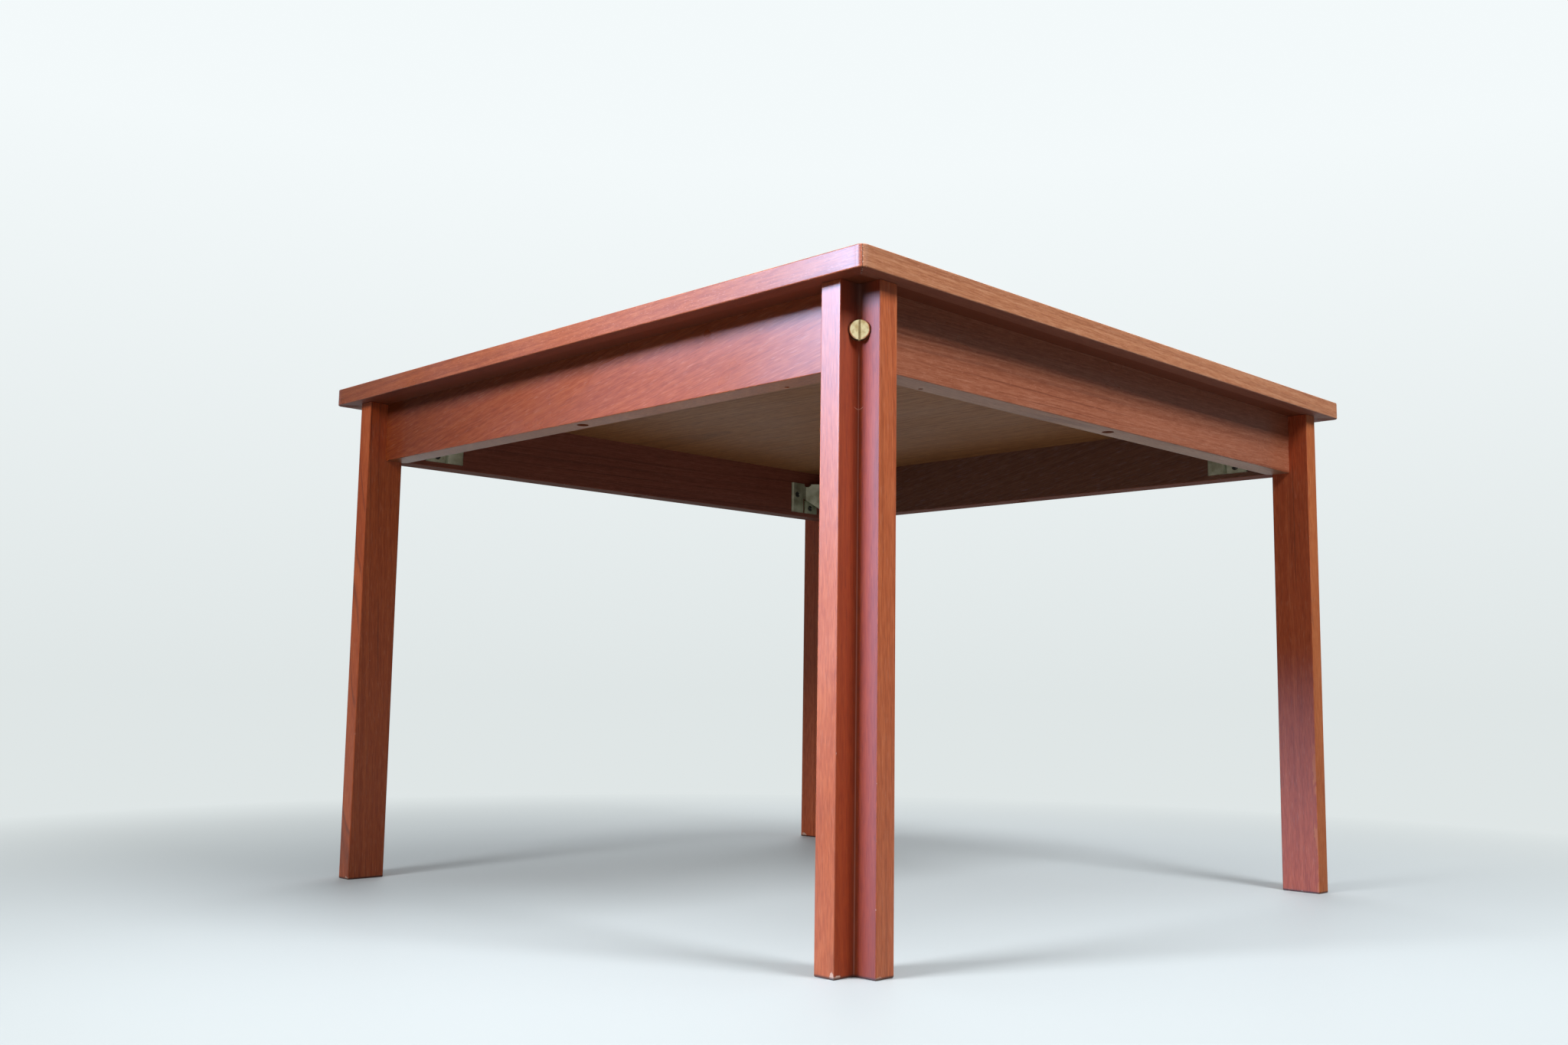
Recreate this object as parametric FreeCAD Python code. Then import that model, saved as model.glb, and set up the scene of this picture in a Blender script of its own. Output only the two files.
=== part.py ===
import FreeCAD, Part
import math
import os

# A square low table of teak, with four screwed-on legs of L section.
# Lengths are in mm and +Z is up. The origin lies on the floor, under the middle of the table.
# Front is -Y and right is +X.

# Table
table_width = 750.0
table_depth = 750.0
table_height = 504.0

# Top: a core board between two veneers, edged with four mitred lippings
top_thickness = 17.0
top_corner_radius = 6.0
top_edge_radius = 1.0
veneer_thickness = 0.6
lipping_width = 15.0
tongue_depth = 7.0
tongue_thickness = 5.0
tongue_clearance = 0.1

# Legs: a square post whose outer quarter is cut away as a notch
leg_size = 39.0
notch_size = 20.0
top_overhang = 12.0
leg_top_gap = 0.3
notch_fillet = 3.0
leg_arris_radius = 0.9
foot_chamfer = 0.6

# Aprons: flush with the bottom of the notch, butted between the legs
apron_height = 60.0
apron_thickness = 24.0
apron_edge_radius = 0.8

# Leg screws: slotted brass screws along the diagonal of each corner
head_radius = 7.5
head_height = 5.5
head_chamfer = 0.7
head_slot_width = 1.6
head_slot_depth = 2.0
thread_radius = 4.0
thread_chamfer = 1.0
thread_past_nut = 2.5
counterbore_clearance = 1.0
seat_before_corner = 3.0
seat_gap = 0.2
leg_bore_clearance = 0.4

# Corner brackets: pressed steel, with hooked ends in kerfs of the aprons
plate_thickness = 2.5
bracket_top_margin = 16.0
bracket_bottom_margin = 5.0
flange_reach = 66.0
web_reach = 40.0
tab_reach = 20.0
hook_depth = 7.0
bend_radius = 3.0
kerf_clearance = 0.2
relief_radius = 4.0
web_hole_clearance = 0.6

# Heights in the bracket, as shares of its own height from its lower edge
web_side_share = 0.50
web_middle_share = 0.13
tab_height_share = 0.43
outer_screw_share = 0.60
inner_screw_share = 0.17

# Width of the level stretch of the web's lower edge, as a share of the web's width
web_level_share = 0.25

# Weld nuts behind the brackets
nut_sides = 6
nut_across_flats = 13.0
nut_height = 6.5
nut_bore_clearance = 0.08

# Wood screws that hold the brackets, two in each flange
outer_screw_reach = 57.0
inner_screw_reach = 33.0
wood_screw_radius = 2.0
wood_screw_length = 18.0
wood_screw_tip = 5.0
wood_screw_head_radius = 3.8
wood_screw_head_height = 2.0
wood_screw_slot_width = 0.9
wood_screw_slot_depth = 0.8
wood_screw_clearance = 0.05

# Top screws, each in a pocket in the middle of an apron's underside
pocket_radius = 5.4
pocket_depth = 30.0
top_screw_radius = 2.2
top_screw_bite = 9.0
top_screw_tip = 4.0
top_screw_head_radius = 4.3
top_screw_head_height = 2.6
top_screw_slot_width = 1.1
top_screw_slot_depth = 1.2

# Small blind holes in the undersides of the two aprons that meet at the front right corner
blind_hole_radius = 2.1
blind_hole_depth = 12.0
blind_hole_reach = 73.0
blind_hole_inset = 5.0

# Extra length of a cutting tool past the face that it cuts, and the slack for matching places
overrun = 5.0
match_tolerance = 0.01

# The largest rounding of an edge, as a share of the wall that it rounds
rounding_share = 0.33

# Places worked out from the sizes
underside = table_height - top_thickness
apron_bottom = underside - apron_height
apron_inset = notch_size + apron_thickness
bracket_bottom = apron_bottom + bracket_bottom_margin
bracket_height = apron_height - bracket_top_margin - bracket_bottom_margin
bracket_top = bracket_bottom + bracket_height
screw_axis_height = bracket_bottom + bracket_height / 2

# Distances along a corner's diagonal, from the outer corner of the leg's square
seat_distance = notch_size * math.sqrt(2) - seat_before_corner
web_distance = (2 * apron_inset + web_reach) / math.sqrt(2)
nut_distance = web_distance + plate_thickness
thread_end_distance = nut_distance + nut_height + thread_past_nut

# Directions and turns
origin = FreeCAD.Vector(0, 0, 0)
up = FreeCAD.Vector(0, 0, 1)
inward = FreeCAD.Vector(1, 1, 0).normalize()
into_apron = FreeCAD.Vector(0, -1, 0)
quarter_turn = math.degrees(math.pi / 2)
eighth_turn = quarter_turn / 2

# What belongs to a corner is built at the front left, and what belongs to a side along the front.
# Each then makes its number of quarter turns about Z.
corner_signs = {"front_left": (-1, -1), "front_right": (1, -1), "rear_right": (1, 1), "rear_left": (-1, 1)}
corner_turns = {"front_left": 0, "front_right": 1, "rear_right": 2, "rear_left": 3}
side_turns = {"front": 0, "right": 1, "rear": 2, "left": 3}


def block(x0, x1, y0, y1, z0, z1):
    """A box between two opposite corners."""
    return Part.makeBox(x1 - x0, y1 - y0, z1 - z0, FreeCAD.Vector(x0, y0, z0))


def prism(points, z0, z1):
    """A straight prism over an outline in plan."""
    loop = [FreeCAD.Vector(x, y, z0) for x, y in points]
    face = Part.Face(Part.makePolygon(loop + [loop[0]]))
    return face.extrude(up * (z1 - z0))


def rod(radius, start, direction, length):
    """A round bar from a point along a direction."""
    return Part.makeCylinder(radius, length, start, direction)


def same(a, b):
    """Whether two coordinates match."""
    return abs(a - b) < match_tolerance


def edges_where(shape, test):
    """The edges of a shape whose ends all pass a test on their point."""
    return [edge for edge in shape.Edges if all(test(vertex.Point) for vertex in edge.Vertexes)]


def upright_edges(shape, places):
    """The upright edges of a shape at the given places in plan."""
    found = []
    for x, y in places:
        found += edges_where(shape, lambda point: same(point.x, x) and same(point.y, y))
    return found


def turned(shape, turns):
    """A copy of a shape after some quarter turns about Z."""
    copy = shape.copy()
    copy.rotate(origin, up, quarter_turn * turns)
    return copy


def at_corner(shape, corner):
    """A copy of a corner piece, moved from the corner frame to its corner of the table."""
    copy = turned(shape, corner_turns[corner])
    sign_x, sign_y = corner_signs[corner]
    shift_x = sign_x * (table_width / 2 - top_overhang)
    shift_y = sign_y * (table_depth / 2 - top_overhang)
    copy.translate(FreeCAD.Vector(shift_x, shift_y, 0))
    return copy


def mirrored(shape):
    """The twin of a shape on the other side of the corner's diagonal plane."""
    return shape.mirror(origin, FreeCAD.Vector(1, -1, 0))


def on_diagonal(distance, height):
    """A point of the corner's diagonal plane, in the corner frame."""
    return inward * distance + up * height


# Top


def lipping_ring():
    """The four lippings and their tongues as one ring, before it is mitred."""
    x, y = table_width / 2, table_depth / 2
    ring = block(-x, x, -y, y, underside, table_height)
    ring = ring.makeFillet(top_corner_radius, upright_edges(ring, [(-x, -y), (x, -y), (x, y), (-x, y)]))
    rims = edges_where(ring, lambda point: same(point.z, underside) or same(point.z, table_height))
    rims = [edge for edge in rims if same(edge.Vertexes[0].Point.z, edge.Vertexes[-1].Point.z)]
    ring = ring.makeFillet(min(top_edge_radius, top_thickness * rounding_share), rims)
    x, y = x - lipping_width, y - lipping_width
    tongue_bottom = underside + (top_thickness - tongue_thickness) / 2
    tongue_top = tongue_bottom + tongue_thickness
    hole = block(-x, x, -y, y, underside - overrun, table_height + overrun)
    tongues = block(-x, x, -y, y, tongue_bottom, tongue_top)
    x, y = x - tongue_depth, y - tongue_depth
    tongues = tongues.cut(block(-x, x, -y, y, tongue_bottom - overrun, tongue_top + overrun))
    return ring.cut(hole).fuse(tongues).removeSplitter()


def mitre_wedge(turns):
    """The space between the two mitre planes of one side."""
    half_length, half_width = table_width / 2, table_depth / 2
    if turns % 2:
        half_length, half_width = half_width, half_length
    depth = lipping_width + tongue_depth + overrun
    outline = [
        (-half_length - overrun, -half_width - overrun),
        (half_length + overrun, -half_width - overrun),
        (half_length - depth, -half_width + depth),
        (-half_length + depth, -half_width + depth),
    ]
    return turned(prism(outline, underside - overrun, table_height + overrun), turns)


def top_core():
    """The core board, grooved all round for the lippings' tongues."""
    x, y = table_width / 2 - lipping_width, table_depth / 2 - lipping_width
    bottom, top = underside + veneer_thickness, table_height - veneer_thickness
    core = block(-x, x, -y, y, bottom, top)
    groove_bottom = underside + (top_thickness - tongue_thickness) / 2 - tongue_clearance
    groove_top = groove_bottom + tongue_thickness + 2 * tongue_clearance
    groove = block(-x - overrun, x + overrun, -y - overrun, y + overrun, groove_bottom, groove_top)
    depth = tongue_depth + tongue_clearance
    x, y = x - depth, y - depth
    groove = groove.cut(block(-x, x, -y, y, groove_bottom - overrun, groove_top + overrun))
    return core.cut(groove).cut(top_screw_holes())


def veneer(bottom):
    """A veneer sheet inside the lippings."""
    x, y = table_width / 2 - lipping_width, table_depth / 2 - lipping_width
    return block(-x, x, -y, y, bottom, bottom + veneer_thickness)


# Aprons


def apron_face_distance(turns):
    """How far the outer face of a side's apron stands from the middle of the table."""
    extent = table_width if turns % 2 else table_depth
    return extent / 2 - top_overhang - notch_size


def apron_half_length(turns):
    """Half the length of a side's apron, which ends at the legs."""
    extent = table_depth if turns % 2 else table_width
    return extent / 2 - top_overhang - leg_size


def apron_blank(half_length, outer, inner):
    """The apron's bar, with eased lower edges and ends mitred behind the legs."""
    bar = block(-half_length, half_length, outer, inner, apron_bottom, underside)
    lower = edges_where(bar, lambda point: same(point.z, apron_bottom))
    long_edges = [edge for edge in lower if same(edge.Vertexes[0].Point.y, edge.Vertexes[-1].Point.y)]
    bar = bar.makeFillet(min(apron_edge_radius, apron_thickness * rounding_share), long_edges)
    mitre = apron_inset - leg_size
    if mitre <= 0:
        return bar
    for sign in (-1, 1):
        tip = sign * (half_length + overrun)
        root = sign * (half_length - mitre - overrun)
        outline = [(tip, inner - mitre - overrun), (tip, inner + overrun), (root, inner + overrun)]
        bar = bar.cut(prism(outline, apron_bottom - overrun, underside + overrun))
    return bar


def kerf(corner_x, inner, sign):
    """The slot for a bracket's hook, on the inner face."""
    near = corner_x - sign * (flange_reach + kerf_clearance)
    far = corner_x - sign * (flange_reach - plate_thickness - kerf_clearance)
    depth = hook_depth + kerf_clearance
    bottom, top = bracket_bottom - kerf_clearance, bracket_top + kerf_clearance
    return block(min(near, far), max(near, far), inner - depth, inner + overrun, bottom, top)


def bracket_screw_places():
    """Reach from the aprons' inner corner, and height, of the two wood screws in a flange."""
    return [
        (outer_screw_reach, bracket_bottom + outer_screw_share * bracket_height),
        (inner_screw_reach, bracket_bottom + inner_screw_share * bracket_height),
    ]


def apron_screw_holes(corner_x, inner, sign):
    """The pilot holes for one flange's wood screws."""
    holes = []
    depth = wood_screw_length - plate_thickness
    for reach, height in bracket_screw_places():
        start = FreeCAD.Vector(corner_x - sign * reach, inner + overrun, height)
        length = depth + overrun + wood_screw_clearance
        holes.append(rod(wood_screw_radius + wood_screw_clearance, start, into_apron, length))
    return holes


def pocket(middle_y):
    """The counterbored hole for a top screw, through the middle of an apron."""
    start = FreeCAD.Vector(0, middle_y, apron_bottom - overrun)
    wide = rod(pocket_radius, start, up, pocket_depth + overrun)
    narrow = rod(top_screw_radius + wood_screw_clearance, start, up, apron_height + 2 * overrun)
    return wide.fuse(narrow)


def leg_screw_path(half_length, outer, sign):
    """The hole through the mitred end of an apron, where the leg screw passes."""
    corner = FreeCAD.Vector(sign * (half_length + leg_size), outer - notch_size, screw_axis_height)
    direction = FreeCAD.Vector(-sign, 1, 0)
    return rod(thread_radius + leg_bore_clearance, corner, direction, web_distance)


def blind_hole(half_length, inner, sign):
    """A small hole in the underside, near one end."""
    place = FreeCAD.Vector(sign * (half_length - blind_hole_reach), inner - blind_hole_inset, 0)
    start = place + up * (apron_bottom - overrun)
    return rod(blind_hole_radius, start, up, blind_hole_depth + overrun)


def apron(turns, blind_ends):
    """An apron, built along the front and turned to its side."""
    outer = -apron_face_distance(turns)
    inner = outer + apron_thickness
    half_length = apron_half_length(turns)
    tools = [pocket((outer + inner) / 2)]
    for sign in (-1, 1):
        corner_x = sign * (half_length + leg_size - apron_inset)
        tools += apron_screw_holes(corner_x, inner, sign)
        tools += [kerf(corner_x, inner, sign), leg_screw_path(half_length, outer, sign)]
    tools += [blind_hole(half_length, inner, sign) for sign in blind_ends]
    return turned(apron_blank(half_length, outer, inner).cut(tools), turns)


# Corner pieces, in the corner frame: the outer corner of the leg's square is at the origin


def leg_screw_bore():
    """The counterbore and the through hole for the leg screw."""
    start = on_diagonal(0, screw_axis_height)
    counterbore = rod(head_radius + counterbore_clearance, start, inward, seat_distance)
    hole = rod(thread_radius + leg_bore_clearance, start, inward, leg_size * math.sqrt(2) + overrun)
    return counterbore.fuse(hole)


def leg():
    """An L-section leg: a square post less its outer quarter, with eased arrises."""
    top = underside - leg_top_gap
    post = block(0, leg_size, 0, leg_size, 0, top)
    post = post.cut(block(-overrun, notch_size, -overrun, notch_size, -overrun, top + overrun))
    arrises = [
        (notch_size, 0), (leg_size, 0), (leg_size, leg_size), (0, leg_size), (0, notch_size),
    ]
    arm = leg_size - notch_size
    post = post.makeFillet(min(leg_arris_radius, arm * rounding_share), upright_edges(post, arrises))
    notch_corner = upright_edges(post, [(notch_size, notch_size)])
    post = post.makeFillet(min(notch_fillet, notch_size * rounding_share), notch_corner)
    foot = edges_where(post, lambda point: same(point.z, 0))
    post = post.makeChamfer(foot_chamfer, foot)
    return post.cut(leg_screw_bore())


def leg_screw():
    """A brass screw with a slotted cheese head."""
    head_back = seat_distance - seat_gap
    head_front = head_back - head_height
    head = rod(head_radius, on_diagonal(head_front, screw_axis_height), inward, head_height)
    rims = [edge for edge in head.Edges if edge.Closed and same(edge.CenterOfMass.dot(inward), head_front)]
    head = head.makeChamfer(head_chamfer, rims)
    slot = block(-head_slot_width / 2, head_slot_width / 2, -overrun, head_slot_depth,
                 -head_radius - overrun, head_radius + overrun)
    slot.rotate(origin, up, -eighth_turn)
    slot.translate(on_diagonal(head_front, screw_axis_height))
    shank_length = thread_end_distance - head_back
    shank = rod(thread_radius, on_diagonal(head_back, screw_axis_height), inward, shank_length)
    tips = [edge for edge in shank.Edges if edge.Closed]
    tips = [edge for edge in tips if same(edge.CenterOfMass.dot(inward), thread_end_distance)]
    shank = shank.makeChamfer(thread_chamfer, tips)
    return head.cut(slot).fuse(shank).removeSplitter()


def bracket_band():
    """The bracket's bent strip at full height: two hooks, two flanges and the diagonal web."""
    face = apron_inset
    back = face + plate_thickness
    end = apron_inset + flange_reach
    bend = apron_inset + web_reach
    mitre = plate_thickness * (math.sqrt(2) - 1)
    half = [
        (bend, face),
        (end - plate_thickness, face),
        (end - plate_thickness, face - hook_depth),
        (end, face - hook_depth),
        (end, back),
        (bend + mitre, back),
    ]
    outline = half + [(y, x) for x, y in reversed(half)]
    band = prism(outline, bracket_bottom, bracket_top)
    return band.makeFillet(bend_radius, upright_edges(band, [(end, back), (back, end)]))


def web_window():
    """What is cut from under the web, whose lower edge drops towards the middle."""
    half_width = web_reach / math.sqrt(2) + plate_thickness
    level = web_level_share * half_width
    side = bracket_bottom + web_side_share * bracket_height
    middle = bracket_bottom + web_middle_share * bracket_height
    bottom = bracket_bottom - overrun
    outline = [(-half_width, bottom), (half_width, bottom), (half_width, side),
               (level, middle), (-level, middle), (-half_width, side)]
    loop = [FreeCAD.Vector(x, 0, z) for x, z in outline]
    face = Part.Face(Part.makePolygon(loop + [loop[0]]))
    window = face.extrude(FreeCAD.Vector(0, web_reach + overrun, 0))
    window.rotate(origin, up, -eighth_turn)
    window.translate(inward * (web_distance - web_reach / 2))
    return window


def flange_tab():
    """The low tab that carries a flange on towards the corner."""
    face = apron_inset
    near, far = face + tab_reach, face + web_reach + plate_thickness
    top = bracket_bottom + tab_height_share * bracket_height
    return block(near, far, face, face + plate_thickness, bracket_bottom, top)


def bend_relief():
    """The round notch where the web leaves a flange, at the upper edge."""
    start = FreeCAD.Vector(apron_inset + web_reach, apron_inset - overrun, bracket_top)
    return rod(relief_radius, start, FreeCAD.Vector(0, 1, 0), plate_thickness + 2 * overrun)


def flange_screw_stem(reach, height, clearance):
    """The countersunk head and the shank of a wood screw in the first flange, swollen by a clearance."""
    start = FreeCAD.Vector(apron_inset + reach, apron_inset + plate_thickness, height)
    head = Part.makeCone(wood_screw_head_radius + clearance, wood_screw_radius + clearance,
                         wood_screw_head_height, start, into_apron)
    shank = rod(wood_screw_radius + clearance, start, into_apron, wood_screw_length - wood_screw_tip)
    return head.fuse(shank)


def flange_screw(reach, height):
    """A wood screw of the first flange, slotted and pointed."""
    face = apron_inset + plate_thickness
    tip_start = FreeCAD.Vector(apron_inset + reach, face - wood_screw_length + wood_screw_tip, height)
    tip = Part.makeCone(wood_screw_radius, 0, wood_screw_tip, tip_start, into_apron)
    slot = block(-wood_screw_head_radius - overrun, wood_screw_head_radius + overrun,
                 face - wood_screw_slot_depth, face + overrun,
                 -wood_screw_slot_width / 2, wood_screw_slot_width / 2)
    slot.translate(FreeCAD.Vector(apron_inset + reach, 0, height))
    return flange_screw_stem(reach, height, 0).fuse(tip).removeSplitter().cut(slot)


def corner_bracket():
    """A pressed corner bracket with its holes."""
    shape = bracket_band().cut(web_window()).fuse(flange_tab()).fuse(mirrored(flange_tab()))
    shape = shape.removeSplitter()
    for reach, height in bracket_screw_places():
        hole = flange_screw_stem(reach, height, wood_screw_clearance)
        shape = shape.cut([hole, mirrored(hole)])
    web_hole = rod(thread_radius + web_hole_clearance, on_diagonal(seat_distance, screw_axis_height),
                   inward, thread_end_distance - seat_distance)
    return shape.cut([bend_relief(), mirrored(bend_relief()), web_hole])


def bracket_nut():
    """A hexagonal weld nut on the inner side of the web."""
    corner_radius = nut_across_flats / (2 * math.cos(math.pi / nut_sides))
    angles = [2 * math.pi / nut_sides * step for step in range(nut_sides)]
    loop = [FreeCAD.Vector(corner_radius * math.cos(a), corner_radius * math.sin(a), 0) for a in angles]
    nut = Part.Face(Part.makePolygon(loop + [loop[0]])).extrude(up * nut_height)
    nut = nut.cut(rod(thread_radius + nut_bore_clearance, origin, up, nut_height))
    nut.Placement = FreeCAD.Placement(
        on_diagonal(nut_distance, screw_axis_height), FreeCAD.Rotation(up, inward)
    )
    return nut


def bracket_screws():
    """The wood screws of one bracket, two in each flange."""
    screws = [flange_screw(reach, height) for reach, height in bracket_screw_places()]
    return screws + [mirrored(screw) for screw in screws]


# Top screws


def top_screw_place(turns):
    """The middle of a side's apron, in plan."""
    middle = FreeCAD.Vector(0, -apron_face_distance(turns) + apron_thickness / 2, 0)
    return FreeCAD.Rotation(up, quarter_turn * turns).multVec(middle)


def top_screw_holes():
    """The pilot holes for the top screws in the underside of the top."""
    radius = top_screw_radius + wood_screw_clearance
    start = up * (underside - overrun)
    length = top_screw_bite + overrun + wood_screw_clearance
    return [rod(radius, top_screw_place(turns) + start, up, length) for turns in side_turns.values()]


def top_screw(turns):
    """A cheese-head screw from its seat in the pocket of a side's apron up into the top."""
    seat = apron_bottom + pocket_depth
    head_bottom = seat - top_screw_head_height
    head = rod(top_screw_head_radius, up * head_bottom, up, top_screw_head_height)
    slot = block(-top_screw_head_radius, top_screw_head_radius,
                 -top_screw_slot_width / 2, top_screw_slot_width / 2,
                 head_bottom - overrun, head_bottom + top_screw_slot_depth)
    tip_bottom = underside + top_screw_bite - top_screw_tip
    shank = rod(top_screw_radius, up * head_bottom, up, tip_bottom - head_bottom)
    tip = Part.makeCone(top_screw_radius, 0, top_screw_tip, up * tip_bottom, up)
    screw = head.fuse([shank, tip]).cut(slot).removeSplitter()
    screw.translate(top_screw_place(turns))
    return screw


# The whole table


def all_parts():
    """Every piece by its name."""
    parts = {
        "top_core": top_core(),
        "top_veneer": veneer(table_height - veneer_thickness),
        "underside_veneer": veneer(underside).cut(top_screw_holes()),
    }
    ring = lipping_ring()
    blind_ends = {"front": [1], "right": [-1], "rear": [], "left": []}
    for side, turns in side_turns.items():
        parts["lipping_" + side] = ring.common(mitre_wedge(turns))
        parts["apron_" + side] = apron(turns, blind_ends[side])
        parts["top_screw_" + side] = top_screw(turns)
    corner_pieces = {
        "leg": leg(),
        "leg_screw": leg_screw(),
        "corner_bracket": corner_bracket(),
        "bracket_nut": bracket_nut(),
    }
    for corner in corner_signs:
        for name, shape in corner_pieces.items():
            parts[name + "_" + corner] = at_corner(shape, corner)
        for number, screw in enumerate(bracket_screws(), 1):
            parts["bracket_screw_" + corner + "_" + str(number)] = at_corner(screw, corner)
    return parts


os.makedirs("parts", exist_ok=True)
for name, shape in all_parts().items():
    shape.exportStep("parts/" + name + ".step")
    print(name, len(shape.Solids), "solid", "volume", round(shape.Volume), "valid", shape.isValid())
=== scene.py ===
import math

import bpy
from mathutils import Matrix, Vector

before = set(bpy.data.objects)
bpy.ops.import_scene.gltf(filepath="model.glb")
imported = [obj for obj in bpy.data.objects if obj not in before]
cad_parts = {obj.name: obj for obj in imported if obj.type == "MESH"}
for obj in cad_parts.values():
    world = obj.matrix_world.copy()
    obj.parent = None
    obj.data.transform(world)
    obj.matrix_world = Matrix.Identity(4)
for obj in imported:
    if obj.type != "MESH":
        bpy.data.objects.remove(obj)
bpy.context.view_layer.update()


def node_box(name):
    """The lowest and the highest corner of a node's solid."""
    points = [vertex.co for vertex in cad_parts[name].data.vertices]
    low = tuple(min(point[axis] for point in points) for axis in range(3))
    high = tuple(max(point[axis] for point in points) for axis in range(3))
    return low, high


# The photograph's camera: place in metres, angles in degrees, focal length in pixels of its frame
camera_place = Vector((1.02767, -1.09481, 0.19330))
camera_yaw = 45.261
camera_pitch = 6.693
camera_roll = 0.813
camera_clip = (0.05, 50.0)
focal_pixels = 1882.16
frame_width_pixels = 2048
sensor_width_mm = 36.0

# Places on the table, in metres, taken from its solids
rim_low, rim_high = node_box("lipping_right")
leg_low, leg_high = node_box("leg_front_right")
apron_low, apron_high = node_box("apron_right")
screw_low, screw_high = node_box("leg_screw_front_right")
veneer_low, veneer_high = node_box("top_veneer")
half_width = rim_high[0]
top_height = rim_high[2]
top_underside = rim_low[2]
leg_face = leg_high[0]
leg_back = leg_low[0]
apron_face = apron_high[0]
apron_back = apron_low[0]
apron_foot = apron_low[2]
notch_face = apron_face
screw_height = (screw_low[2] + screw_high[2]) / 2
leaf_count = 5
leaf_width = (veneer_high[1] - veneer_low[1]) / leaf_count
leg_arrises = (
    (notch_face, leg_face),
    (leg_back, leg_face),
    (leg_back, leg_back),
    (leg_face, leg_back),
    (leg_face, notch_face),
)

# Floor and surroundings
floor_radius = 7.0
floor_vertices = 128
floor_fade = (0.5, 1.3)
floor_roughness = 0.55
floor_specular = 0.2
floor_colour = (0.475, 0.525, 0.55)
floor_bounce = (0.165, 0.165, 0.17)
horizon_colour = (0.74, 0.79, 0.79)
zenith_colour = (0.90, 0.95, 0.96)
zenith_height = 0.35
room_colour = (0.14, 0.15, 0.16)
dim_direction = (0.8, 0.6, 0.0)
dim_range = (0.25, 0.75)
world_light = (0.95, 0.98, 1.0)
world_strength = 0.05

# Lamps: places and sizes in metres, spreads in degrees
white = (1.0, 1.0, 1.0)
sky_blue = (0.32, 0.60, 1.0)
lamps = {
    "overhead": {
        "place": (0.0, 0.0, 2.6),
        "target": (0.0, 0.0, 0.0),
        "size": (2.4, 2.4),
        "radiance": 2.2,
    },
    "key": {
        "place": (1.65, -0.02, 1.75),
        "target": (0.2, -0.2, 0.35),
        "size": (0.65, 0.65),
        "radiance": 28.5,
    },
    "front": {
        "place": (0.02, -1.62, 1.06),
        "target": (0.38, -0.37, 0.27),
        "size": (0.5, 0.5),
        "radiance": 9.3,
        "spread": 82.0,
    },
    "rear": {
        "place": (-2.60, 2.70, 1.45),
        "target": (-0.1, 0.1, 0.30),
        "size": (2.6, 2.2),
        "radiance": 3.9,
    },
    "window": {
        "place": (-0.85, -3.11, 1.62),
        "target": (0.37, -0.37, 0.95),
        "size": (1.7, 0.8),
        "radiance": 138.0,
        "colour": sky_blue,
    },
}
sheen_only = ("window",)
sheen_on = ("lipping_front", "lipping_right", "apron_front", "leg_front_right", "leg_rear_right")
unmirrored = ("front", "rear")


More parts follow.
